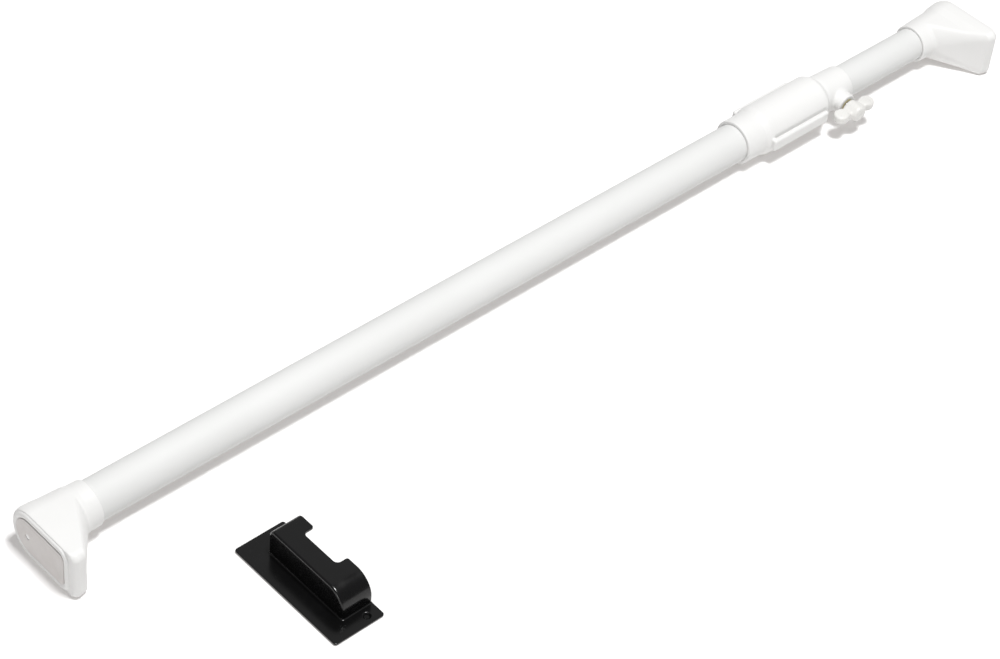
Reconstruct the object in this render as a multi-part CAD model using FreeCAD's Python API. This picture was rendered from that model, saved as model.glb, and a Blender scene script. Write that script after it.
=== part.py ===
"""Adjustable door security bar with its keeper bracket, in millimetres.

The origin is the point where the tube axis meets the fixed foot's outer face.
+X runs along the bar to the sliding foot, +Z is up, and the toes of both feet
point along -Y. The bar is shown nearly closed, lying on the floor.
"""
import FreeCAD, Part
import math
import os

Vector = FreeCAD.Vector

# ---- Bar as a whole
BAR_LENGTH = 762.0
FOOT_HALF_HEIGHT = 17.2
FLOOR_Z = -FOOT_HALF_HEIGHT

# ---- Tubes
OUTER_TUBE_R = 12.7
INNER_TUBE_R = 11.1
TUBE_WALL = 1.0
OUTER_TUBE_END = 603.0
INNER_TUBE_START = 110.0
PRESS_GAP = 0.05
RUN_GAP = 0.08

# ---- Feet
# Each foot or pad section: depth, half height, toe reach, corner radius, shift of the round end.
PAD_THICK = 1.8
PAD_OUTLINE = (12.1, 32.6, 3.8, 1.4)
PAD_FACE_INSET = 0.3
PAD_EDGE_DEPTH = 0.4
RIM_SECTIONS = (
    (0.3, 14.8, 36.2, 4.6, 1.4),
    (0.9, 16.2, 38.6, 4.9, 1.5),
    (PAD_THICK, 16.9, 40.4, 5.0, 1.5),
)
FIXED_TOE_SECTIONS = (
    *RIM_SECTIONS,
    (4.2, FOOT_HALF_HEIGHT, 42.0, 5.0, 1.0),
    (9.8, 16.9, 40.7, 4.6, 0.8),
    (16.0, 16.2, 31.5, 6.0, 0.7),
)
SLIDING_TOE_SECTIONS = (
    *RIM_SECTIONS,
    (4.2, FOOT_HALF_HEIGHT, 42.0, 5.0, 1.3),
    (9.8, 16.7, 40.7, 4.6, 1.3),
    (16.0, 15.0, 31.5, 6.0, 1.1),
)
# Each neck section: depth, radius.
FIXED_NECK_SECTIONS = ((29.5, 15.1), (33.0, 14.4), (41.0, 14.1))
SLIDING_NECK_SECTIONS = ((30.0, 13.6), (41.0, 12.9))
SOCKET_FLOOR = 9.0

# ---- Pin and plug that hold a foot on its tube
RIVET_R = 0.9
RIVET_HEAD_R = 1.8
RIVET_HEAD_T = 0.9
RIVET_RECESS = 0.3
RIVET_LENGTH = 20.0
PLUG_LENGTH = 14.0

# ---- Guide on the inner tube's hidden end
GUIDE_HEAD_LENGTH = 12.0
GUIDE_SPIGOT_LENGTH = 13.0
GUIDE_BORE_R = 7.5

# ---- Collar
COLLAR_START = 549.0
RING_END = 565.0
BODY_START = 569.0
BODY_END = 622.0
NECK_START = 626.0
COLLAR_END = 650.0
RING_R = 15.1
BODY_R = 16.8
COLLAR_NECK_R = 13.6
COLLAR_MOUTH_R = 12.8
RIB_START = 568.0
RIB_END = 619.0
RIB_REACH = 19.9
RIB_HALF_HEIGHT = 4.3
RIB_EDGE_R = 1.4
GROOVE_INNER_Y = 16.0
GROOVE_OUTER_Y = 17.6
GROOVE_DEPTH = 1.8
GROOVE_INSET = 3.0
LIP_LENGTH = 2.0
BUSH_OUTER_R = 12.0
COLLAR_SCREW_XS = (557.0, 596.0)
COLLAR_SCREW_R = 1.3
COLLAR_SCREW_HEAD_R = 2.6
COLLAR_SCREW_HEAD_T = 1.4

# ---- Clamp
CLAMP_X = 637.5
BOSS_R = 7.5
BOSS_FACE = 19.0
INSERT_R = 4.5
INSERT_DEPTH = 4.4
SHOE_R = 4.0
SHOE_GAP = 0.3
SHOE_BACK = 13.5
STUD_R = 2.95
STUD_RUN_GAP = 0.05
STUD_END = 27.5

# ---- Thumb screw knob
HUB_R = 5.6
HUB_START = 20.0
HUB_END = 31.4
HUB_DOME_R = 2.2
WING_OFFSET = 12.2
WING_CENTRE = 24.9
WING_R = 5.0
WING_HALF_THICK = 2.9
WING_EDGE_R = 1.3
WEB_HALF_THICK = 2.3
WEB_HALF_WIDTH = 3.6

# ---- Keeper bracket
KEEPER_X = 90.0
KEEPER_Y = -152.9
KEEPER_WIDTH = 35.0
KEEPER_LENGTH = 87.2
KEEPER_CORNER_R = 1.8
TAPE_THICK = 0.5
TAPE_MARGIN = 1.5
PLATE_THICK = 1.3
HOOD_X = 104.0
HOOD_OPEN_X = 124.5
HOOD_FAR_Y = -78.7
HOOD_NEAR_Y = -142.0
HOOD_HEIGHT = 20.0
HOOD_WALL = 2.0
HOOD_FAR_R = 4.6
HOOD_NEAR_R = 13.0
HOOD_EDGE_R = 1.2
NOTCH_DEPTH = 7.6
NOTCH_WIDTH = 28.6
NOTCH_CENTRE_Y = -106.6
NOTCH_CORNER_R = 3.0
KEEPER_HOLE_X = 116.5
KEEPER_HOLE_YS = (-147.6, -72.6)
KEEPER_HOLE_R = 1.6
KEEPER_SINK_R = 2.4

REACH = 60.0


def rod_x(start, end, radius):
    """A round rod on the tube axis."""
    return Part.makeCylinder(radius, end - start, Vector(start, 0, 0), Vector(1, 0, 0))


def cone_x(start, end, start_r, end_r):
    """A cone on the tube axis."""
    return Part.makeCone(start_r, end_r, end - start, Vector(start, 0, 0), Vector(1, 0, 0))


def tube_x(start, end, outer_r, inner_r):
    """A tube on the tube axis."""
    return rod_x(start, end, outer_r).cut(rod_x(start, end, inner_r))


def rod_y(near, far, radius):
    """A rod on the clamp's axis, between two distances from the tube axis."""
    return Part.makeCylinder(radius, far - near, Vector(CLAMP_X, -near, 0), Vector(0, -1, 0))


def rod_down(x, y, top, bottom, radius):
    """A vertical rod."""
    return Part.makeCylinder(radius, top - bottom, Vector(x, y, bottom), Vector(0, 0, 1))


def box(low, high):
    """A box between two corners."""
    size = high - low
    return Part.makeBox(size.x, size.y, size.z, low)


def arc(first, middle, last):
    """An arc through three points."""
    return Part.Arc(first, middle, last).toShape()


def toe_section(x, radius, tip, corner, shift):
    """The foot's outline at one depth: round on the far side, squarish at the toe."""
    low = radius - corner
    near = tip - corner
    slant = corner * math.sqrt(0.5)
    top_far = Vector(x, -shift, radius)
    top_near = Vector(x, -near, radius)
    tip_top = Vector(x, -tip, low)
    tip_bottom = Vector(x, -tip, -low)
    bottom_near = Vector(x, -near, -radius)
    bottom_far = Vector(x, -shift, -radius)
    edges = [
        arc(top_far, Vector(x, radius - shift, 0), bottom_far),
        Part.makeLine(bottom_far, bottom_near),
        arc(bottom_near, Vector(x, -near - slant, -low - slant), tip_bottom),
        Part.makeLine(tip_bottom, tip_top),
        arc(tip_top, Vector(x, -near - slant, low + slant), top_near),
        Part.makeLine(top_near, top_far),
    ]
    return Part.Wire(edges)


def neck_section(x, radius):
    """A circle cut into the same six edges as toe_section."""
    turns = (90, -90, -130, -165, -195, -230, -270)

    def at(turn):
        angle = math.radians(turn)
        return Vector(x, radius * math.cos(angle), radius * math.sin(angle))

    edges = [arc(at(a), at((a + b) / 2), at(b)) for a, b in zip(turns, turns[1:])]
    return Part.Wire(edges)


def pad_loft(start, end, start_grow, end_grow):
    """The pad's outline carried along X, grown by a different amount at each end."""
    half, tip, corner, shift = PAD_OUTLINE
    wires = []
    for x, grow in ((start, start_grow), (end, end_grow)):
        wires.append(toe_section(x, half + grow, tip + grow, corner + grow, shift))
    return Part.makeLoft(wires, True, True)


def foot_body(toe_sections, neck_sections, tube_r):
    """Foot with its socket for the tube and its recess for the pad, its outer face towards -X."""
    wires = [toe_section(*values) for values in toe_sections]
    wires += [neck_section(*values) for values in neck_sections]
    body = Part.makeLoft(wires, True, True)
    neck_end = neck_sections[-1][0]
    body = body.cut(rod_x(SOCKET_FLOOR, neck_end + 1, tube_r + PRESS_GAP))
    body = body.cut(pad_loft(-1, PAD_THICK, PRESS_GAP, PRESS_GAP))
    return body.cut(rod_x(0, SOCKET_FLOOR + 1, RIVET_R))


def foot_pad():
    """Soft sole set in the foot's face and standing a little proud of the rim."""
    pad = pad_loft(0, PAD_EDGE_DEPTH, -PAD_FACE_INSET, 0)
    pad = pad.fuse(pad_loft(PAD_EDGE_DEPTH, PAD_THICK, 0, 0)).removeSplitter()
    head_end = RIVET_RECESS + RIVET_HEAD_T
    pad = pad.cut(rod_x(-1, head_end, RIVET_HEAD_R))
    return pad.cut(rod_x(-1, PAD_THICK + 1, RIVET_R))


def foot_rivet():
    """Pin on the tube axis, with its head sunk in the sole."""
    head_end = RIVET_RECESS + RIVET_HEAD_T
    head = rod_x(RIVET_RECESS, head_end, RIVET_HEAD_R)
    return head.fuse(rod_x(head_end, RIVET_LENGTH, RIVET_R)).removeSplitter()


def foot_plug(tube_r):
    """Plug inside the tube end, bored for the pin."""
    plug_r = tube_r - TUBE_WALL - PRESS_GAP
    return tube_x(SOCKET_FLOOR, SOCKET_FLOOR + PLUG_LENGTH, plug_r, RIVET_R)


def at_sliding_end(shape):
    """The same shape turned to face the other end of the bar."""
    return shape.mirror(Vector(BAR_LENGTH / 2, 0, 0), Vector(1, 0, 0))


def outer_tube():
    """Outer tube with the holes for the collar screws."""
    inner_r = OUTER_TUBE_R - TUBE_WALL
    tube = tube_x(SOCKET_FLOOR, OUTER_TUBE_END, OUTER_TUBE_R, inner_r)
    for x in COLLAR_SCREW_XS:
        tube = tube.cut(rod_down(x, 0, 0, -RING_R - 1, COLLAR_SCREW_R))
    return tube


def inner_tube():
    """Inner tube, from its hidden end to the sliding foot's socket."""
    end = BAR_LENGTH - SOCKET_FLOOR
    return tube_x(INNER_TUBE_START, end, INNER_TUBE_R, INNER_TUBE_R - TUBE_WALL)


def inner_guide():
    """Hollow guide: a head that runs in the outer tube and a spigot in the inner tube."""
    start = INNER_TUBE_START - GUIDE_HEAD_LENGTH
    head_r = OUTER_TUBE_R - TUBE_WALL - RUN_GAP
    spigot_r = INNER_TUBE_R - TUBE_WALL - RUN_GAP
    spigot_end = INNER_TUBE_START + GUIDE_SPIGOT_LENGTH
    guide = rod_x(start, INNER_TUBE_START - SHOE_GAP, head_r)
    guide = guide.fuse(rod_x(start, spigot_end, spigot_r))
    return guide.cut(rod_x(start - 1, spigot_end + 1, GUIDE_BORE_R)).removeSplitter()


def collar_ribs():
    """The pair of flat ribs along the collar's sides."""
    low = Vector(RIB_START, -RIB_REACH, -RIB_HALF_HEIGHT)
    high = Vector(RIB_END, RIB_REACH, RIB_HALF_HEIGHT)
    ribs = box(low, high)
    outside = [e for e in ribs.Edges if abs(e.CenterOfMass.y) > RIB_REACH - 1]
    return ribs.makeFillet(RIB_EDGE_R, outside)


def rib_grooves():
    """Four narrow channels where the ribs meet the round body."""
    start = RIB_START + GROOVE_INSET
    end = RIB_END - GROOVE_INSET / 2
    zs = (RIB_HALF_HEIGHT - GROOVE_DEPTH, RIB_HALF_HEIGHT + GROOVE_DEPTH / 2)
    grooves = []
    for side in (-1, 1):
        for level in (-1, 1):
            y_low, y_high = sorted((side * GROOVE_INNER_Y, side * GROOVE_OUTER_Y))
            z_low, z_high = sorted((level * zs[0], level * zs[1]))
            grooves.append(box(Vector(start, y_low, z_low), Vector(end, y_high, z_high)))
    return grooves


def collar_body():
    """Collar: ring, ribbed body, tapering neck and side boss, bored through."""
    collar = rod_x(COLLAR_START, RING_END, RING_R)
    collar = collar.fuse(cone_x(RING_END, BODY_START, RING_R, BODY_R))
    collar = collar.fuse(rod_x(BODY_START, BODY_END, BODY_R))
    collar = collar.fuse(cone_x(BODY_END, NECK_START, BODY_R, COLLAR_NECK_R))
    collar = collar.fuse(cone_x(NECK_START, COLLAR_END, COLLAR_NECK_R, COLLAR_MOUTH_R))
    collar = collar.fuse(collar_ribs())
    collar = collar.fuse(rod_y(0, BOSS_FACE, BOSS_R))
    for groove in rib_grooves():
        collar = collar.cut(groove)
    lip_start = COLLAR_END - LIP_LENGTH
    bush_pocket_r = BUSH_OUTER_R + PRESS_GAP
    lip_r = INNER_TUBE_R + 2 * PRESS_GAP + RUN_GAP
    collar = collar.cut(rod_x(COLLAR_START - 1, OUTER_TUBE_END, OUTER_TUBE_R + PRESS_GAP))
    collar = collar.cut(rod_x(OUTER_TUBE_END, lip_start, bush_pocket_r))
    collar = collar.cut(rod_x(lip_start, COLLAR_END + 1, lip_r))
    collar = collar.cut(rod_y(0, BOSS_FACE - INSERT_DEPTH, SHOE_R + RUN_GAP))
    collar = collar.cut(rod_y(BOSS_FACE - INSERT_DEPTH, BOSS_FACE + 1, INSERT_R))
    for x in COLLAR_SCREW_XS:
        head_floor = -screw_seat(x) + COLLAR_SCREW_HEAD_T
        collar = collar.cut(rod_down(x, 0, 0, -BODY_R - 1, COLLAR_SCREW_R))
        collar = collar.cut(rod_down(x, 0, head_floor, -BODY_R - 1, COLLAR_SCREW_HEAD_R))
    return collar


def screw_seat(x):
    """How far below the tube axis a collar screw's head ends."""
    surface = RING_R if x < RING_END else BODY_R
    return surface - SHOE_GAP


def collar_screws():
    """Screws that enter the collar from below and stop inside the outer tube's wall."""
    screws = []
    tip = -(OUTER_TUBE_R - TUBE_WALL + RUN_GAP)
    for x in COLLAR_SCREW_XS:
        head_end = -screw_seat(x)
        head_floor = head_end + COLLAR_SCREW_HEAD_T
        head = rod_down(x, 0, head_floor, head_end, COLLAR_SCREW_HEAD_R)
        screws.append(head.fuse(rod_down(x, 0, tip, head_floor, COLLAR_SCREW_R)))
    return Part.makeCompound(screws)


def guide_bush():
    """Bush in the collar's neck that the inner tube slides in."""
    end = COLLAR_END - LIP_LENGTH
    bush = tube_x(OUTER_TUBE_END, end, BUSH_OUTER_R, INNER_TUBE_R + RUN_GAP)
    return bush.cut(rod_y(0, BOSS_FACE, SHOE_R + RUN_GAP))


def threaded_insert():
    """Insert in the boss that carries the thumb screw's thread."""
    insert = rod_y(BOSS_FACE - INSERT_DEPTH, BOSS_FACE, INSERT_R)
    return insert.cut(rod_y(0, BOSS_FACE + 1, STUD_R + STUD_RUN_GAP))


def clamp_shoe():
    """Shoe with a hollow face that grips the inner tube."""
    shoe = rod_y(0, SHOE_BACK, SHOE_R)
    hollow = rod_x(CLAMP_X - REACH, CLAMP_X + REACH, INNER_TUBE_R + SHOE_GAP)
    return shoe.cut(hollow)


def thumb_screw_stud():
    """Threaded stud, drawn as a plain rod of its outer diameter."""
    return rod_y(SHOE_BACK, STUD_END, STUD_R)


def wing(side):
    """One round wing and the web that joins it to the hub."""
    centre_x = CLAMP_X + side * WING_OFFSET
    base = Vector(centre_x, -WING_CENTRE, -WING_HALF_THICK)
    disc = Part.makeCylinder(WING_R, 2 * WING_HALF_THICK, base, Vector(0, 0, 1))
    rims = [e for e in disc.Edges if isinstance(e.Curve, Part.Circle)]
    disc = disc.makeFillet(WING_EDGE_R, rims)
    xs = sorted((CLAMP_X, centre_x))
    low = Vector(xs[0], -WING_CENTRE - WEB_HALF_WIDTH, -WEB_HALF_THICK)
    high = Vector(xs[1], -WING_CENTRE + WEB_HALF_WIDTH, WEB_HALF_THICK)
    return disc.fuse(box(low, high))


def thumb_screw_knob():
    """Knob with a domed hub and two wings."""
    hub = rod_y(HUB_START, HUB_END, HUB_R)
    outer_rim = [e for e in hub.Edges if e.CenterOfMass.y < -HUB_END + 0.1]
    hub = hub.makeFillet(HUB_DOME_R, outer_rim)
    knob = hub.fuse(wing(-1)).fuse(wing(1))
    return knob.cut(rod_y(HUB_START - 1, STUD_END, STUD_R)).removeSplitter()


def upright_edges(shape):
    """The vertical edges of a shape."""
    found = []
    for edge in shape.Edges:
        if isinstance(edge.Curve, Part.Line) and abs(edge.tangentAt(edge.FirstParameter).z) > 0.99:
            found.append(edge)
    return found


def keeper_plate_block(margin, bottom, thick):
    """A flat plate with rounded corners, as large as the bracket's base less a margin."""
    low = Vector(KEEPER_X + margin, KEEPER_Y + margin, bottom)
    high_x = KEEPER_X + KEEPER_WIDTH - margin
    high_y = KEEPER_Y + KEEPER_LENGTH - margin
    plate = box(low, Vector(high_x, high_y, bottom + thick))
    return plate.makeFillet(KEEPER_CORNER_R, upright_edges(plate))


def hood_profile(inset, bottom, start_x, end_x):
    """The hood's side outline, shrunk by inset, carried along X."""
    far = HOOD_FAR_Y - inset
    near = HOOD_NEAR_Y + inset
    top = FLOOR_Z + HOOD_HEIGHT - inset
    far_r = HOOD_FAR_R - inset
    near_r = HOOD_NEAR_R - inset
    half = math.sqrt(0.5)

    def at(y, z):
        return Vector(start_x, y, z)

    edges = [
        Part.makeLine(at(near, bottom), at(near, top - near_r)),
        arc(
            at(near, top - near_r),
            at(near + near_r * (1 - half), top - near_r * (1 - half)),
            at(near + near_r, top),
        ),
        Part.makeLine(at(near + near_r, top), at(far - far_r, top)),
        arc(
            at(far - far_r, top),
            at(far - far_r * (1 - half), top - far_r * (1 - half)),
            at(far, top - far_r),
        ),
        Part.makeLine(at(far, top - far_r), at(far, bottom)),
        Part.makeLine(at(far, bottom), at(near, bottom)),
    ]
    face = Part.Face(Part.Wire(edges))
    return face.extrude(Vector(end_x - start_x, 0, 0))


def hood_back_rim(hood, bottom):
    """The edges round the hood's back wall, except the one on the plate."""
    rim = []
    for edge in hood.Edges:
        centre = edge.CenterOfMass
        if abs(centre.x - HOOD_X) < 0.01 and centre.z > bottom + 0.1:
            rim.append(edge)
    return rim


def notch_block():
    """The tube notch, with round inner corners."""
    top = FLOOR_Z + HOOD_HEIGHT
    half = NOTCH_WIDTH / 2
    low = Vector(HOOD_OPEN_X - NOTCH_DEPTH, NOTCH_CENTRE_Y - half, top - 2 * HOOD_WALL)
    high = Vector(HOOD_OPEN_X + NOTCH_DEPTH, NOTCH_CENTRE_Y + half, top + HOOD_WALL)
    block = box(low, high)
    inner = [e for e in upright_edges(block) if e.CenterOfMass.x < HOOD_OPEN_X]
    return block.makeFillet(NOTCH_CORNER_R, inner)


def keeper_bracket():
    """Base plate with a hood that is open towards +X and notched for the tube."""
    plate_bottom = FLOOR_Z + TAPE_THICK
    plate_top = plate_bottom + PLATE_THICK
    sink_depth = KEEPER_SINK_R - KEEPER_HOLE_R
    hood = hood_profile(0, plate_bottom, HOOD_X, HOOD_OPEN_X)
    hood = hood.makeFillet(HOOD_EDGE_R, hood_back_rim(hood, plate_bottom))
    bracket = keeper_plate_block(0, plate_bottom, PLATE_THICK).fuse(hood)
    pocket = hood_profile(HOOD_WALL, plate_top, HOOD_X + HOOD_WALL, HOOD_OPEN_X + 1)
    bracket = bracket.cut(pocket).cut(notch_block())
    for y in KEEPER_HOLE_YS:
        rim = Vector(KEEPER_HOLE_X, y, plate_top - sink_depth)
        sink = Part.makeCone(KEEPER_HOLE_R, KEEPER_SINK_R, sink_depth, rim)
        hole = rod_down(KEEPER_HOLE_X, y, plate_top + 1, plate_bottom - 1, KEEPER_HOLE_R)
        bracket = bracket.cut(hole).cut(sink)
    return bracket.removeSplitter()


def keeper_tape():
    """Foam tape under the bracket's base, which the screws pierce when they are used."""
    return keeper_plate_block(TAPE_MARGIN, FLOOR_Z, TAPE_THICK)


NODES = {
    "outer_tube": outer_tube(),
    "fixed_foot": foot_body(FIXED_TOE_SECTIONS, FIXED_NECK_SECTIONS, OUTER_TUBE_R),
    "fixed_foot_pad": foot_pad(),
    "fixed_foot_rivet": foot_rivet(),
    "fixed_foot_plug": foot_plug(OUTER_TUBE_R),
    "collar_body": collar_body(),
    "collar_screws": collar_screws(),
    "guide_bush": guide_bush(),
    "threaded_insert": threaded_insert(),
    "clamp_shoe": clamp_shoe(),
    "thumb_screw_stud": thumb_screw_stud(),
    "thumb_screw_knob": thumb_screw_knob(),
    "inner_tube": inner_tube(),
    "inner_guide": inner_guide(),
    "sliding_foot": at_sliding_end(
        foot_body(SLIDING_TOE_SECTIONS, SLIDING_NECK_SECTIONS, INNER_TUBE_R)
    ),
    "sliding_foot_pad": at_sliding_end(foot_pad()),
    "sliding_foot_rivet": at_sliding_end(foot_rivet()),
    "sliding_foot_plug": at_sliding_end(foot_plug(INNER_TUBE_R)),
    "keeper_bracket": keeper_bracket(),
    "keeper_tape": keeper_tape(),
}

os.makedirs("parts", exist_ok=True)
for name, shape in NODES.items():
    print(name, shape.isValid(), len(shape.Solids), "solids", round(shape.Volume), "mm3")
    shape.exportStep("parts/" + name + ".step")
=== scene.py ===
"""Looks of the telescopic door security bar and its keeper bracket.

Shapes are worked out in millimetres as distance fields or turned profiles, and
become meshes in metres. The frame has +X along the bar and +Z up, and the toes
of both feet point along -Y.
"""

import math

import bpy
import numpy as np
from mathutils import Matrix, Vector


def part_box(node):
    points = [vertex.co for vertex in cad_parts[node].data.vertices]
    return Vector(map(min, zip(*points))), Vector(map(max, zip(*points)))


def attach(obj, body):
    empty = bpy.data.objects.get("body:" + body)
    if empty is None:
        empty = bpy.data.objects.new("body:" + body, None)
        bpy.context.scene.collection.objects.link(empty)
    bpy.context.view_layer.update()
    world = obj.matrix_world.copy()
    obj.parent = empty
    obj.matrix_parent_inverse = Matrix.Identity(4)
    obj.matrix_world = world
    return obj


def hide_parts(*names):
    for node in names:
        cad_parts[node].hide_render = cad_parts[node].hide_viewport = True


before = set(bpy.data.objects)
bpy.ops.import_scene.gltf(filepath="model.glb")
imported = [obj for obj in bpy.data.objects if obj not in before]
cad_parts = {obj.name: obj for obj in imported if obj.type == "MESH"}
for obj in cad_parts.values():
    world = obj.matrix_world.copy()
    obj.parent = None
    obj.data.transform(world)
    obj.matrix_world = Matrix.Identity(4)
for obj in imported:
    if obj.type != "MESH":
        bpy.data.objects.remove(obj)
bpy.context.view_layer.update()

MM = 0.001

# ---- Sizes in millimetres, as in the CAD model unless a comment says otherwise
BAR_LENGTH = 762.0
FLOOR_Z = -17.2

# Tubes
OUTER_TUBE_R = 12.7
INNER_TUBE_R = 11.1
TUBE_WALL = 1.0
OUTER_TUBE_END = 603.0
INNER_TUBE_START = 110.0
TUBE_GAP = 0.05
SOCKET_FLOOR = 9.0

# Outlines of a foot: half height, toe reach, corner radius, shift of the round end,
# and before them, in a section, its depth.
PAD_OUTLINE = (12.1, 32.6, 3.8, 1.4)
RIM_SECTIONS = (
    (1.3, 16.7, 39.4, 4.9, 1.5),
    (1.9, 17.0, 40.6, 5.0, 1.5),
)
FIXED_SECTIONS = (
    *RIM_SECTIONS,
    (4.2, 17.2, 42.0, 5.0, 1.0),
    (9.8, 16.9, 40.7, 4.6, 0.8),
    (16.0, 16.2, 31.5, 6.0, 0.7),
    (29.5, 15.1, 15.1, 15.1, 0.0),
    (33.0, 14.4, 14.4, 14.4, 0.0),
    (41.0, 14.1, 14.1, 14.1, 0.0),
)
SLIDING_SECTIONS = (
    *RIM_SECTIONS,
    (4.2, 17.2, 42.0, 5.0, 1.3),
    (9.8, 16.7, 40.7, 4.6, 1.3),
    (16.0, 15.0, 31.5, 6.0, 1.1),
    (30.0, 13.6, 13.6, 13.6, 0.0),
    (41.0, 12.9, 12.9, 12.9, 0.0),
)
PAD_THICK = 1.8
PAD_EDGE = 0.35
# The foot reaches this far in under the pad's edge, so that no gap shows.
PAD_TUCK = 0.6
# The bead round the pad: how far out of the pad's outline its crest lies, how deep its
# front is, and half its size.
BEAD_CREST = 1.8
BEAD_FRONT = 0.1
BEAD_HALF_WIDTH = 1.9
BEAD_HEIGHT = 1.05
# The pin in the pad, with a domed head
PIN_HEAD_R = 1.8
PIN_HEAD_DEPTH = 1.2
PIN_DOME_R = 5.0
PIN_SHANK_R = 0.9
PIN_SHANK = (0.8, 20.0)

# Collar: its profile is (place along the bar, radius)
COLLAR_PROFILE = (
    (549.0, 15.1),
    (565.0, 15.1),
    (569.0, 16.8),
    (622.0, 16.8),
    (626.0, 13.6),
    (650.0, 12.8),
)
COLLAR_START = COLLAR_PROFILE[0][0]
COLLAR_END = COLLAR_PROFILE[-1][0]
NECK_BORE_R = 11.28
RIB_LOW = (568.0, -19.9, -4.3)
RIB_HIGH = (619.0, 19.9, 4.3)
RIB_EDGE = 1.5
# Grooves where the ribs meet the body, above and below each one
CHANNEL_LOW = (RIB_LOW[0] + 3.0, 16.0, 2.5)
CHANNEL_HIGH = (RIB_HIGH[0] + 1.0, 17.6, 9.0)
CHANNEL_EDGE = 0.6
# The boss for the thumb screw, with the seat of its insert and the hole for the shoe
BOSS_R = 7.5
BOSS_REACH = 19.0
INSERT_R = 4.5
INSERT_START = 14.6
SHOE_HOLE_R = 4.1
# Where the two screws under the collar stand: along the bar, and the underside of the head
SCREW_SEATS = ((557.0, -14.8), (596.0, -16.5))
SCREW_SEAT_R = 2.75
SCREW_HEAD_R = 2.6
SCREW_HEAD_HEIGHT = 1.4
SCREW_SHANK_R = 1.3
SCREW_TIP_Z = -11.8
CROSS_HALF_LENGTH = 1.5
CROSS_HALF_WIDTH = 0.32
CROSS_DEPTH = 0.8

# Thumb screw, which points along -Y at CLAMP_X
CLAMP_X = 637.5
STUD_PITCH = 1.0
STUD_R = 2.93
STUD_THREAD = 0.42
STUD_TIP_R = 1.9
STUD_START = 13.5
STUD_END = 27.5
STUD_BORE_R = 2.95
HUB_R = 5.6
HUB_START = 20.0
HUB_END = 31.4
# Wings: the middle of each is WING_X to the side of the hub and WING_OUT from the bar's axis
WING_X = 12.2
WING_OUT = 24.9
WING_R = 5.0
WING_HALF_THICK = 2.9
WEB_LOW = (0.0, 21.3, -2.3)
WEB_HIGH = (12.0, 28.5, 2.3)

# Bracket
KEEPER_LOW = (90.0, -152.9)
KEEPER_HIGH = (125.0, -65.7)
PLATE_CORNER = 1.8
PLATE_BOTTOM = -16.7
PLATE_TOP = -15.4
HOOD_X = 104.0
HOOD_OPEN_X = 124.5
HOOD_NEAR_Y = -142.0
HOOD_FAR_Y = -78.7
HOOD_TOP = 2.8
HOOD_WALL = 2.0
HOOD_NEAR_R = 13.0
HOOD_FAR_R = 4.6
NOTCH_DEPTH = 7.6
NOTCH_YS = (-120.9, -92.3)
NOTCH_CORNER = 3.0
NOTCH_FLOOR_Z = -1.2
KEEPER_HOLES = ((116.5, -147.6), (116.5, -72.6))
KEEPER_HOLE_R = 1.6
COUNTERSINK_R = 2.4

# ---- Grid steps of the meshes, in millimetres
FOOT_STEP = 0.5
PAD_STEP = FOOT_STEP * 0.7
COLLAR_STEP = 0.52
KEEPER_STEP = 0.4
KNOB_STEP = 0.3
SCREW_STEP = 0.14


# ---------------------------------------------------------------- distance fields
def smooth_max(a, b, k):
    """The larger of two fields, with the edge between them rounded over about k."""
    near = np.maximum(k - np.abs(a - b), 0.0) / k
    return np.maximum(a, b) + near * near * k * 0.25


def smooth_min(a, b, k):
    """The smaller of two fields, with the corner between them filled over about k."""
    return -smooth_max(-a, -b, k)


def between(value, low, high):
    """Signed distance to the slab from low to high."""
    return np.maximum(low - value, value - high)


def rounded_box(x, y, z, low, high, edge):
    """A box between two corners, with round edges."""
    gaps = []
    for value, a, b in zip((x, y, z), low, high):
        gaps.append(np.abs(value - (a + b) / 2) - ((b - a) / 2 - edge))
    outside = np.sqrt(sum(np.maximum(g, 0.0) ** 2 for g in gaps))
    inside = np.minimum(np.maximum(np.maximum(gaps[0], gaps[1]), gaps[2]), 0.0)
    return outside + inside - edge


def rounded_rect(x, y, low, high, radius):
    """A rectangle between two corners, with round corners."""
    gx = np.abs(x - (low[0] + high[0]) / 2) - ((high[0] - low[0]) / 2 - radius)
    gy = np.abs(y - (low[1] + high[1]) / 2) - ((high[1] - low[1]) / 2 - radius)
    outside = np.hypot(np.maximum(gx, 0.0), np.maximum(gy, 0.0))
    return outside + np.minimum(np.maximum(gx, gy), 0.0) - radius


def table(rows, blur, spacing=0.05, margin=6.0):
    """Values along a length, linear between rows, with their kinks blurred."""
    rows = np.array(rows, float)
    along = np.arange(rows[0, 0] - margin, rows[-1, 0] + margin, spacing)
    reach = max(1, int(3 * blur / spacing))
    kernel = np.exp(-0.5 * (np.arange(-reach, reach + 1) * spacing / blur) ** 2)
    kernel /= kernel.sum()
    columns = []
    for i in range(1, rows.shape[1]):
        line = np.interp(along, rows[:, 0], rows[:, i])
        padded = np.pad(line, reach, mode="edge")
        columns.append(np.convolve(padded, kernel, mode="valid"))
    return along, columns


def foot_section(y, z, half, tip, corner, shift):
    """Outline of a foot at one depth: round on the far side, squarish at the toe."""
    toe = -y
    far = np.hypot(toe - shift, z) - half
    gap_y = toe - (tip - corner)
    gap_z = np.abs(z) - (half - corner)
    near = np.hypot(np.maximum(gap_y, 0.0), np.maximum(gap_z, 0.0))
    near = near + np.minimum(np.maximum(gap_y, gap_z), 0.0) - corner
    return np.where(toe < shift, far, near)


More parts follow.
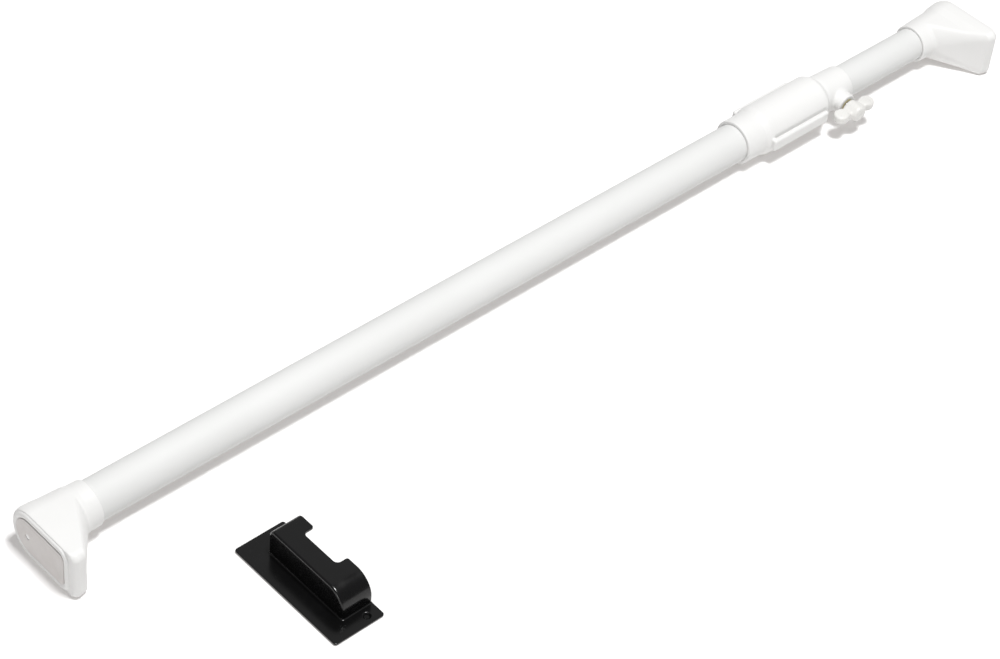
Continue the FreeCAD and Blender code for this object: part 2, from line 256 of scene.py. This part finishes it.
def foot_field(sections, tube_r):
    """Foot with its socket, pad recess and bead, its outer face towards -X."""
    depths, columns = table(sections, 0.35)
    rim_depth = sections[0][0]
    neck_end = sections[-1][0]

    def field(x, y, z):
        values = [np.interp(x, depths, column) for column in columns]
        foot = foot_section(y, z, *values)
        foot = smooth_max(foot, rim_depth - x, 0.3)
        foot = smooth_max(foot, x - neck_end, 0.7)
        outside = foot_section(y, z, *PAD_OUTLINE)
        foot = np.maximum(foot, -np.maximum(outside + PAD_TUCK, x - PAD_THICK))
        across = (outside - BEAD_CREST) / BEAD_HALF_WIDTH
        bead = (np.hypot(across, (x - BEAD_FRONT) / BEAD_HEIGHT - 1) - 1) * BEAD_HEIGHT
        foot = smooth_min(foot, bead, 0.25)
        bore = np.maximum(np.hypot(y, z) - tube_r - TUBE_GAP, SOCKET_FLOOR - x)
        return smooth_max(foot, -bore, 0.5)

    return field


def pad_field(x, y, z):
    """Soft sole with a rounded edge and a seat for the pin, its face towards -X."""
    pad = foot_section(y, z, *PAD_OUTLINE)
    pad = smooth_max(pad, -x, PAD_EDGE)
    pad = np.maximum(pad, x - PAD_THICK)
    pin_seat = np.maximum(np.hypot(y, z) - PIN_HEAD_R, x - PIN_HEAD_DEPTH)
    return smooth_max(pad, -pin_seat, 0.2)


def pin_field(x, y, z):
    """Pin on the tube axis, with a low domed head towards -X."""
    across = np.hypot(y, z)
    dome = np.sqrt(across ** 2 + (x - PIN_DOME_R) ** 2) - PIN_DOME_R
    head = np.maximum(np.maximum(dome, across - PIN_HEAD_R), x - PIN_HEAD_DEPTH)
    shank = np.maximum(across - PIN_SHANK_R, between(x, *PIN_SHANK))
    return np.minimum(head, shank)


COLLAR_XS, COLLAR_RADII = table(COLLAR_PROFILE, 0.55)


def collar_field(x, y, z):
    """Collar: ring, ribbed body, tapering neck and side boss, bored through."""
    across = np.hypot(y, z)
    collar = across - np.interp(x, COLLAR_XS, COLLAR_RADII[0])
    ribs = rounded_box(x, y, z, RIB_LOW, RIB_HIGH, RIB_EDGE)
    collar = smooth_min(collar, ribs, 0.7)
    from_clamp = np.hypot(x - CLAMP_X, z)
    boss = smooth_max(from_clamp - BOSS_R, between(-y, 0.0, BOSS_REACH), 1.2)
    collar = smooth_min(collar, boss, 2.0)
    channel = rounded_box(x, np.abs(y), np.abs(z), CHANNEL_LOW, CHANNEL_HIGH, CHANNEL_EDGE)
    collar = smooth_max(collar, -channel, 0.5)
    collar = smooth_max(collar, between(x, COLLAR_START, COLLAR_END), 1.0)
    bore = np.maximum(across - OUTER_TUBE_R - TUBE_GAP, x - OUTER_TUBE_END)
    bore = np.minimum(bore, across - NECK_BORE_R)
    collar = smooth_max(collar, -bore, 0.5)
    seat = np.maximum(from_clamp - INSERT_R, INSERT_START + y)
    shoe_hole = np.maximum(from_clamp - SHOE_HOLE_R, y)
    collar = smooth_max(collar, -np.minimum(seat, shoe_hole), 0.35)
    for screw_x, head_z in SCREW_SEATS:
        spread = np.hypot(x - screw_x, y)
        hole = np.maximum(spread - SCREW_SHANK_R, z)
        head = np.maximum(spread - SCREW_SEAT_R, z - head_z - SCREW_HEAD_HEIGHT)
        collar = smooth_max(collar, -np.minimum(hole, head), 0.3)
    return collar


def screw_field(screw_x, head_z):
    """Pan-head screw that points up, with a cross recess underneath."""
    arm = (CROSS_HALF_LENGTH, CROSS_HALF_WIDTH)

    def field(x, y, z):
        across = x - screw_x
        spread = np.hypot(across, y)
        head = between(z, head_z, head_z + SCREW_HEAD_HEIGHT)
        head = smooth_max(spread - SCREW_HEAD_R, head, 0.7)
        shank = between(z, head_z + SCREW_HEAD_HEIGHT / 2, SCREW_TIP_Z)
        screw = np.minimum(head, np.maximum(spread - SCREW_SHANK_R, shank))
        slots = np.minimum(
            rounded_rect(across, y, (-arm[0], -arm[1]), arm, 0.1),
            rounded_rect(y, across, (-arm[0], -arm[1]), arm, 0.1),
        )
        recess = np.maximum(slots, z - head_z - CROSS_DEPTH)
        return smooth_max(screw, -recess, 0.15)

    return field


def stud_field(x, y, z):
    """Threaded stud of the thumb screw, with a chamfer at its shoe end."""
    out = -y
    spread = np.hypot(x - CLAMP_X, z)
    turn = out / STUD_PITCH - np.arctan2(z, x - CLAMP_X) / (2 * math.pi)
    ridge = np.abs(turn - np.round(turn)) * 2
    # Both slopes are steeper than a true distance, so they are scaled down.
    stud = (spread - STUD_R + STUD_THREAD * ridge) * 0.8
    stud = np.maximum(stud, (spread - STUD_TIP_R - (out - STUD_START)) * 0.7)
    return np.maximum(stud, between(out, STUD_START, STUD_END))


def knob_field(x, y, z):
    """Thumb screw knob: domed hub with two round wings."""
    out = -y
    spread = np.hypot(x - CLAMP_X, z)
    hub = smooth_max(spread - HUB_R, between(out, HUB_START, HUB_END), 2.4)
    dx = np.abs(x - CLAMP_X)
    disc = np.hypot(dx - WING_X, out - WING_OUT) - WING_R
    disc = smooth_max(disc, np.abs(z) - WING_HALF_THICK, 1.7)
    web = rounded_box(dx, out, z, WEB_LOW, WEB_HIGH, 1.2)
    knob = smooth_min(smooth_min(disc, web, 2.2), hub, 2.6)
    bore = np.maximum(spread - STUD_BORE_R, out - STUD_END)
    return smooth_max(knob, -bore, 0.3)


def hood_outline(y, z, inset):
    """The hood's side outline, shrunk by inset: a long curve near, a tight one far."""
    near, far = HOOD_NEAR_Y + inset, HOOD_FAR_Y - inset
    top = HOOD_TOP - inset
    middle = (near + far) / 2
    radius = np.where(y < middle, HOOD_NEAR_R, HOOD_FAR_R) - inset
    gap_y = np.abs(y - middle) - ((far - near) / 2 - radius)
    gap_z = z - (top - radius)
    outside = np.hypot(np.maximum(gap_y, 0.0), np.maximum(gap_z, 0.0))
    return outside + np.minimum(np.maximum(gap_y, gap_z), 0.0) - radius


def keeper_field(x, y, z):
    """Base plate with a hood that is open towards +X and notched for the tube."""
    plate = rounded_rect(x, y, KEEPER_LOW, KEEPER_HIGH, PLATE_CORNER)
    plate = smooth_max(plate, between(z, PLATE_BOTTOM, PLATE_TOP), 0.4)
    notch_low = (HOOD_OPEN_X - NOTCH_DEPTH, NOTCH_YS[0])
    notch_high = (HOOD_OPEN_X + 20.0, NOTCH_YS[1])
    notch = rounded_rect(x, y, notch_low, notch_high, NOTCH_CORNER)
    notch = np.maximum(notch, NOTCH_FLOOR_Z - z)
    end = smooth_max(x - HOOD_OPEN_X, -notch, 1.6)
    hood = smooth_max(hood_outline(y, z, 0.0), HOOD_X - x, 1.5)
    hood = np.maximum(hood, PLATE_BOTTOM - z)
    pocket = np.maximum(hood_outline(y, z, HOOD_WALL), HOOD_X + HOOD_WALL - x)
    pocket = np.maximum(pocket, PLATE_TOP - z)
    hood = smooth_max(smooth_max(hood, -pocket, 0.5), end, 0.45)
    keeper = smooth_min(plate, hood, 0.9)
    for hole_x, hole_y in KEEPER_HOLES:
        spread = np.hypot(x - hole_x, y - hole_y)
        cone = (spread - COUNTERSINK_R + PLATE_TOP - z) * 0.7
        drill = np.minimum(spread - KEEPER_HOLE_R, cone)
        drill = np.maximum(drill, z - PLATE_TOP - 0.6)
        keeper = smooth_max(keeper, -drill, 0.25)
    return keeper


# ---------------------------------------------------------------- meshes
def gradient(field, points):
    """Slope of a field at points, by differences."""
    small = 0.02
    slopes = []
    for axis in range(3):
        ahead, behind = points.copy(), points.copy()
        ahead[:, axis] += small
        behind[:, axis] -= small
        slopes.append((field(*ahead.T) - field(*behind.T)) / (2 * small))
    return np.stack(slopes, axis=1)


def settle(field, points, reach):
    """Moves points onto the zero surface, each by at most reach."""
    value = field(*points.T)
    slope = gradient(field, points)
    size = np.maximum((slope ** 2).sum(axis=1), 0.05)
    move = -(value / size)[:, None] * slope
    length = np.linalg.norm(move, axis=1)
    move *= np.minimum(1.0, reach / np.maximum(length, 1e-9))[:, None]
    return points + move


def relax(points, quads, share):
    """Moves each point towards the middle of its neighbours."""
    total = np.zeros_like(points)
    count = np.zeros(len(points))
    for i in range(4):
        a, b = quads[:, i], quads[:, (i + 1) % 4]
        for axis in range(3):
            total[:, axis] += np.bincount(a, points[b, axis], len(points))
            total[:, axis] += np.bincount(b, points[a, axis], len(points))
        count += np.bincount(a, minlength=len(points))
        count += np.bincount(b, minlength=len(points))
    return points + share * (total / count[:, None] - points)


# The grid's margin round a box, in steps. It is uneven below, so that flat faces don't lie
# on grid planes.
MARGIN_LOW = 3.37
MARGIN_HIGH = 3.5


def field_net(field, low, high, step):
    """Quads over the zero surface of a field, one point in each grid cell it crosses."""
    low = np.array(low, float) - MARGIN_LOW * step
    high = np.array(high, float) + MARGIN_HIGH * step
    counts = np.ceil((high - low) / step).astype(int) + 1
    grids = [low[i] + step * np.arange(counts[i]) for i in range(3)]
    inside = field(*np.meshgrid(*grids, indexing="ij", sparse=True)) < 0
    cells = counts - 1
    filled = np.zeros(cells, np.int8)
    for i in (0, 1):
        for j in (0, 1):
            for k in (0, 1):
                filled += inside[i:i + cells[0], j:j + cells[1], k:k + cells[2]]
    crossed = (filled > 0) & (filled < 8)
    number = np.full(crossed.shape, -1)
    number[crossed] = np.arange(crossed.sum())
    points = low + step * (np.argwhere(crossed) + 0.5)
    unit = np.eye(3, dtype=int)
    quads = []
    for axis in range(3):
        b, c = unit[(axis + 1) % 3], unit[(axis + 2) % 3]
        turn = np.diff(inside.astype(np.int8), axis=axis)
        at = np.argwhere(turn != 0)
        sign = turn[tuple(at.T)]
        ring = [number[tuple((at - shift).T)] for shift in (b + c, c, 0 * b, b)]
        ring = np.stack(ring, axis=1)
        ring[sign > 0] = ring[sign > 0][:, ::-1]
        quads.append(ring)
    quads = np.concatenate(quads)
    for _ in range(3):
        points = settle(field, points, 0.6 * step)
    for _ in range(4):
        points = relax(points, quads, 0.5)
        points = settle(field, points, 0.5 * step)
    points = settle(field, points, 0.5 * step)
    return points, quads


def add_piece(name, points, faces, normals=None):
    """A smooth-shaded mesh object from points in millimetres."""
    mesh = bpy.data.meshes.new(name)
    mesh.from_pydata((points * MM).tolist(), [], faces.tolist())
    mesh.validate()
    mesh.shade_smooth()
    if normals is not None:
        mesh.normals_split_custom_set_from_vertices(normals.tolist())
    piece = bpy.data.objects.new(name, mesh)
    bpy.context.scene.collection.objects.link(piece)
    return piece


def field_piece(name, field, low, high, step):
    """A piece whose surface is where a field is zero."""
    points, quads = field_net(field, low, high, step)
    slope = gradient(field, points)
    normals = slope / np.maximum(np.linalg.norm(slope, axis=1), 1e-9)[:, None]
    return add_piece(name, points, quads, normals)


def turned_points(profile, sides):
    """A closed profile of (along, radius) turned about the X axis."""
    profile = np.array(profile, float)
    angles = 2 * math.pi * np.arange(sides) / sides
    along = np.repeat(profile[:, 0], sides)
    radius = np.repeat(profile[:, 1], sides)
    angle = np.tile(angles, len(profile))
    return np.stack([along, radius * np.cos(angle), radius * np.sin(angle)], axis=1)


def turned_faces(rows, sides):
    """Quads between the rows of a closed turned profile."""
    i, j = np.meshgrid(np.arange(rows), np.arange(sides), indexing="ij")
    ahead, over = (i + 1) % rows, (j + 1) % sides
    quads = [i * sides + j, i * sides + over, ahead * sides + over, ahead * sides + j]
    return np.stack([q.ravel() for q in quads], axis=1)


def arc_points(centre, radius, start, end, count):
    """Points of an arc in a profile, angles in degrees from +along towards +radius."""
    along, across = centre
    turns = np.radians(np.linspace(start, end, count))
    return [(along + radius * math.cos(t), across + radius * math.sin(t)) for t in turns]


def tube_piece(name, start, end, outer_r, sides, rows):
    """A tube along X with rounded rims, with its wall inside and out."""
    inner_r = outer_r - TUBE_WALL
    middle = outer_r - TUBE_WALL / 2
    # Radius of the rim's edges, a little under half the wall
    lip = TUBE_WALL * 0.42
    profile = arc_points((start + lip, outer_r - lip), lip, 180, 90, 5)
    profile += [(x, outer_r) for x in np.linspace(start + lip, end - lip, rows)[1:-1]]
    profile += arc_points((end - lip, outer_r - lip), lip, 90, 0, 5)
    profile += [(end, middle)]
    profile += arc_points((end - lip, inner_r + lip), lip, 0, -90, 5)
    profile += [(x, inner_r) for x in np.linspace(end - lip, start + lip, rows)[1:-1]]
    profile += arc_points((start + lip, inner_r + lip), lip, -90, -180, 5)
    profile += [(start, middle)]
    points = turned_points(profile, sides)
    faces = turned_faces(len(profile), sides)
    return add_piece(name, points, faces)


# ---------------------------------------------------------------- materials
def new_material(name):
    """A new node material, with its node tree and its shader."""
    material = bpy.data.materials.new(name)
    material.use_nodes = True
    tree = material.node_tree
    shader = tree.nodes["Principled BSDF"]
    return material, tree, shader


def noise(tree, scale, detail=4.0, rough=0.55):
    """A noise texture in object coordinates, in metres; returns its factor."""
    where = tree.nodes.new("ShaderNodeTexCoord").outputs["Object"]
    node = tree.nodes.new("ShaderNodeTexNoise")
    node.inputs["Scale"].default_value = scale
    node.inputs["Detail"].default_value = detail
    node.inputs["Roughness"].default_value = rough
    tree.links.new(where, node.inputs["Vector"])
    return node.outputs["Fac"]


def ramp(tree, factor, low, high, dark, light):
    """A colour that goes from dark to light as factor goes from low to high."""
    node = tree.nodes.new("ShaderNodeValToRGB")
    ends = node.color_ramp.elements
    ends[0].position, ends[1].position = low, high
    ends[0].color = (*dark, 1.0)
    ends[1].color = (*light, 1.0)
    tree.links.new(factor, node.inputs["Fac"])
    return node.outputs["Color"]


def spread(tree, factor, low, high):
    """A number that goes from low to high as factor goes from 0.3 to 0.7."""
    node = tree.nodes.new("ShaderNodeMapRange")
    node.inputs["From Min"].default_value = 0.3
    node.inputs["From Max"].default_value = 0.7
    node.inputs["To Min"].default_value = low
    node.inputs["To Max"].default_value = high
    tree.links.new(factor, node.inputs["Value"])
    return node.outputs["Result"]


def bump(tree, height, distance, strength, under=None):
    """A bump normal from a height, on top of another one if it is given."""
    node = tree.nodes.new("ShaderNodeBump")
    node.inputs["Strength"].default_value = strength
    node.inputs["Distance"].default_value = distance
    tree.links.new(height, node.inputs["Height"])
    if under is not None:
        tree.links.new(under, node.inputs["Normal"])
    return node.outputs["Normal"]


def finish_material(name, dark, light, rough, grain, grain_depth, swirl, constants):
    """Moulded or coated surface: slow colour drift, uneven gloss and a fine grain."""
    material, tree, shader = new_material(name)
    drift = noise(tree, swirl, 3.0)
    tree.links.new(ramp(tree, drift, 0.3, 0.7, dark, light), shader.inputs["Base Color"])
    gloss = noise(tree, grain * 0.22, 5.0, 0.6)
    tree.links.new(spread(tree, gloss, rough[0], rough[1]), shader.inputs["Roughness"])
    coarse = bump(tree, noise(tree, grain * 0.18, 2.0), grain_depth * 4.0, 0.35)
    fine = bump(tree, noise(tree, grain, 3.0, 0.5), grain_depth, 0.5, coarse)
    tree.links.new(fine, shader.inputs["Normal"])
    for socket, value in constants.items():
        shader.inputs[socket].default_value = value
    return material


# For each slot: dark and light colour, range of roughness, grain (noise scale in 1/m),
# depth of the grain in metres, scale of the colour drift, and constants of the shader.
FINISHES = {
    "white_paint": (
        (0.675, 0.677, 0.668), (0.705, 0.707, 0.699), (0.58, 0.68), 900.0, 0.00004, 9.0,
        {"Specular IOR Level": 0.3},
    ),
    "white_plastic": (
        (0.74, 0.737, 0.728), (0.77, 0.768, 0.758), (0.42, 0.54), 1500.0, 0.00002, 14.0,
        {"Specular IOR Level": 0.35},
    ),
    "knob_plastic": (
        (0.69, 0.682, 0.66), (0.73, 0.722, 0.70), (0.24, 0.36), 1500.0, 0.00002, 30.0,
        {"Specular IOR Level": 0.5},
    ),
    "pad_rubber": (
        (0.60, 0.57, 0.555), (0.67, 0.645, 0.63), (0.55, 0.72), 1300.0, 0.00007, 60.0,
        {"Specular IOR Level": 0.35},
    ),
    "hidden_plastic": (
        (0.72, 0.72, 0.69), (0.79, 0.79, 0.77), (0.45, 0.6), 1200.0, 0.00003, 20.0,
        {},
    ),
    "black_plastic": (
        (0.0022, 0.0022, 0.0023), (0.0034, 0.0034, 0.0036), (0.17, 0.24), 700.0, 0.000001, 30.0,
        {"Specular IOR Level": 0.42},
    ),
    "tape_foam": (
        (0.004, 0.004, 0.004), (0.008, 0.008, 0.008), (0.85, 0.95), 2500.0, 0.0001, 200.0,
        {"Specular IOR Level": 0.15},
    ),
    "brass": (
        (0.70, 0.62, 0.38), (0.78, 0.70, 0.45), (0.4, 0.5), 2200.0, 0.00002, 80.0,
        {"Metallic": 0.3},
    ),
    "screw_steel": (
        (0.55, 0.55, 0.56), (0.66, 0.66, 0.67), (0.2, 0.36), 2200.0, 0.00002, 120.0,
        {"Metallic": 1.0},
    ),
    "rivet_steel": (
        (0.84, 0.83, 0.82), (0.88, 0.87, 0.86), (0.18, 0.3), 2200.0, 0.00002, 120.0,
        {},
    ),
}
MATERIALS = {slot_name: finish_material(slot_name, *row) for slot_name, row in FINISHES.items()}


def dress(piece, slot_name):
    """Gives a piece or a CAD node the material of a slot."""
    piece.data.materials.clear()
    piece.data.materials.append(MATERIALS[slot_name])


def place(piece, slot_name, body, *nodes):
    """Dresses a piece, puts it on a body and lets it stand for CAD nodes."""
    dress(piece, slot_name)
    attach(piece, body)
    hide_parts(*nodes)


def box_mm(node):
    """A CAD node's corners in millimetres."""
    low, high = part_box(node)
    return [v / MM for v in low], [v / MM for v in high]


# ---------------------------------------------------------------- pieces
def mirrored(field):
    """The same field turned to face the other end of the bar."""

    def other(x, y, z):
        return field(BAR_LENGTH - x, y, z)

    return other


def node_piece(name, field, step, slot_name, body, node):
    """A piece from a field that stands for one CAD node, inside that node's box."""
    piece = field_piece(name, field, *box_mm(node), step)
    place(piece, slot_name, body, node)


TUBE_ROWS = 90
tube = tube_piece(
    "outer_tube_skin", SOCKET_FLOOR, OUTER_TUBE_END, OUTER_TUBE_R, sides=128, rows=TUBE_ROWS
)
place(tube, "white_paint", "bar", "outer_tube")
inner_end = BAR_LENGTH - SOCKET_FLOOR
tube = tube_piece(
    "inner_tube_skin", INNER_TUBE_START, inner_end, INNER_TUBE_R, sides=112, rows=TUBE_ROWS
)
place(tube, "white_paint", "sliding_end", "inner_tube")

fixed_foot = foot_field(FIXED_SECTIONS, OUTER_TUBE_R)
sliding_foot = mirrored(foot_field(SLIDING_SECTIONS, INNER_TUBE_R))
FEET = (
    ("fixed_foot", "bar", fixed_foot, pad_field, pin_field),
    ("sliding_foot", "sliding_end", sliding_foot, mirrored(pad_field), mirrored(pin_field)),
)
for name, body, foot, pad, _ in FEET:
    node_piece(f"{name}_shell", foot, FOOT_STEP, "white_plastic", body, name)
    node_piece(f"{name}_sole", pad, PAD_STEP, "pad_rubber", body, f"{name}_pad")

node_piece("collar_shell", collar_field, COLLAR_STEP, "white_plastic", "bar", "collar_body")
for index, (screw_x, head_z) in enumerate(SCREW_SEATS):
    low = (screw_x - SCREW_HEAD_R, -SCREW_HEAD_R, head_z)
    high = (screw_x + SCREW_HEAD_R, SCREW_HEAD_R, SCREW_TIP_Z)
    screw = screw_field(screw_x, head_z)
    piece = field_piece(f"collar_screw_{index + 1}", screw, low, high, SCREW_STEP)
    place(piece, "screw_steel", "bar", "collar_screws")

for name, body, _, _, pin in FEET:
    node_piece(f"{name}_pin", pin, SCREW_STEP, "rivet_steel", body, f"{name}_rivet")

node_piece(
    "thumb_stud", stud_field, SCREW_STEP, "screw_steel", "thumb_screw", "thumb_screw_stud"
)
node_piece(
    "thumb_knob", knob_field, KNOB_STEP, "knob_plastic", "thumb_screw", "thumb_screw_knob"
)
node_piece(
    "keeper_shell", keeper_field, KEEPER_STEP, "black_plastic", "keeper", "keeper_bracket"
)

# CAD nodes that keep their own shape
KEPT = {
    "fixed_foot_plug": "hidden_plastic",
    "guide_bush": "hidden_plastic",
    "threaded_insert": "brass",
    "clamp_shoe": "hidden_plastic",
    "inner_guide": "hidden_plastic",
    "sliding_foot_plug": "hidden_plastic",
    "keeper_tape": "tape_foam",
}
for node, slot_name in KEPT.items():
    dress(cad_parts[node], slot_name)

# ---------------------------------------------------------------- stage, light and camera
scene = bpy.context.scene
scene.view_settings.view_transform = "Standard"
scene.view_settings.look = "None"
scene.view_settings.exposure = 0.0
scene.view_settings.gamma = 1.0

HALF_FLOOR = 6.0
floor_corners = [
    (x, y, FLOOR_Z * MM)
    for x, y in (
        (-HALF_FLOOR, -HALF_FLOOR),
        (HALF_FLOOR, -HALF_FLOOR),
        (HALF_FLOOR, HALF_FLOOR),
        (-HALF_FLOOR, HALF_FLOOR),
    )
]
floor_mesh = bpy.data.meshes.new("floor")
floor_mesh.from_pydata(floor_corners, [], [(0, 1, 2, 3)])
floor = bpy.data.objects.new("floor", floor_mesh)
scene.collection.objects.link(floor)
floor_material, tree, shader = new_material("floor_paper")
tree.links.new(
    ramp(tree, noise(tree, 3.0), 0.3, 0.7, (0.72, 0.72, 0.72), (0.74, 0.74, 0.74)),
    shader.inputs["Base Color"],
)
# The glow keeps the floor near white, and its warm tint shows only in shadows.
for socket, value in {
    "Roughness": 0.9,
    "Specular IOR Level": 0.1,
    "Emission Color": (1.0, 0.95, 0.92, 1.0),
    "Emission Strength": 0.23,
}.items():
    shader.inputs[socket].default_value = value
floor_mesh.materials.append(floor_material)

world = bpy.data.worlds.new("studio")
scene.world = world
world.use_nodes = True
background = world.node_tree.nodes["Background"]
background.inputs["Color"].default_value = (1.0, 1.0, 1.0, 1.0)
background.inputs["Strength"].default_value = 0.2


def area_light(name, place_at, target, size, power):
    """A square soft light that points at a target."""
    data = bpy.data.lights.new(name, "AREA")
    data.shape = "SQUARE"
    data.size = size
    data.energy = power
    light = bpy.data.objects.new(name, data)
    scene.collection.objects.link(light)
    turned = (Vector(place_at) - Vector(target)).to_track_quat("Z", "Y").to_matrix().to_4x4()
    light.matrix_world = Matrix.Translation(place_at) @ turned


area_light("key", (0.4, -0.7, 3.25), (0.38, -0.05, 0.0), size=0.65, power=120.0)
area_light("back", (1.4, 1.15, 1.75), (0.11, -0.11, 0.0), size=1.8, power=2.6)
area_light("fill", (-2.8, -0.8, 0.45), (0.1, -0.05, 0.0), size=0.9, power=14.0)

# The camera looks down along the bar from beside its fixed foot.
CAMERA_PLACE = (-0.55679, -0.87332, 1.13846)
CAMERA_HEADING = math.radians(43.89)
CAMERA_DOWN = math.radians(43.34)
CAMERA_ROLL = math.radians(5.7)
SENSOR = 36.0
LENS = 100.687

ahead = Vector((
    math.cos(CAMERA_HEADING) * math.cos(CAMERA_DOWN),
    math.sin(CAMERA_HEADING) * math.cos(CAMERA_DOWN),
    -math.sin(CAMERA_DOWN),
))
level = ahead.cross(Vector((0.0, 0.0, 1.0))).normalized()
upright = level.cross(ahead)
right = level * math.cos(CAMERA_ROLL) + upright * math.sin(CAMERA_ROLL)
up = upright * math.cos(CAMERA_ROLL) - level * math.sin(CAMERA_ROLL)
camera_data = bpy.data.cameras.new("camera")
camera_data.sensor_width = SENSOR
camera_data.lens = LENS
camera_data.clip_start = 0.01
camera_data.clip_end = 50.0
camera = bpy.data.objects.new("camera", camera_data)
scene.collection.objects.link(camera)
turn = Matrix((right, up, -ahead)).transposed().to_4x4()
camera.matrix_world = Matrix.Translation(CAMERA_PLACE) @ turn
scene.camera = camera
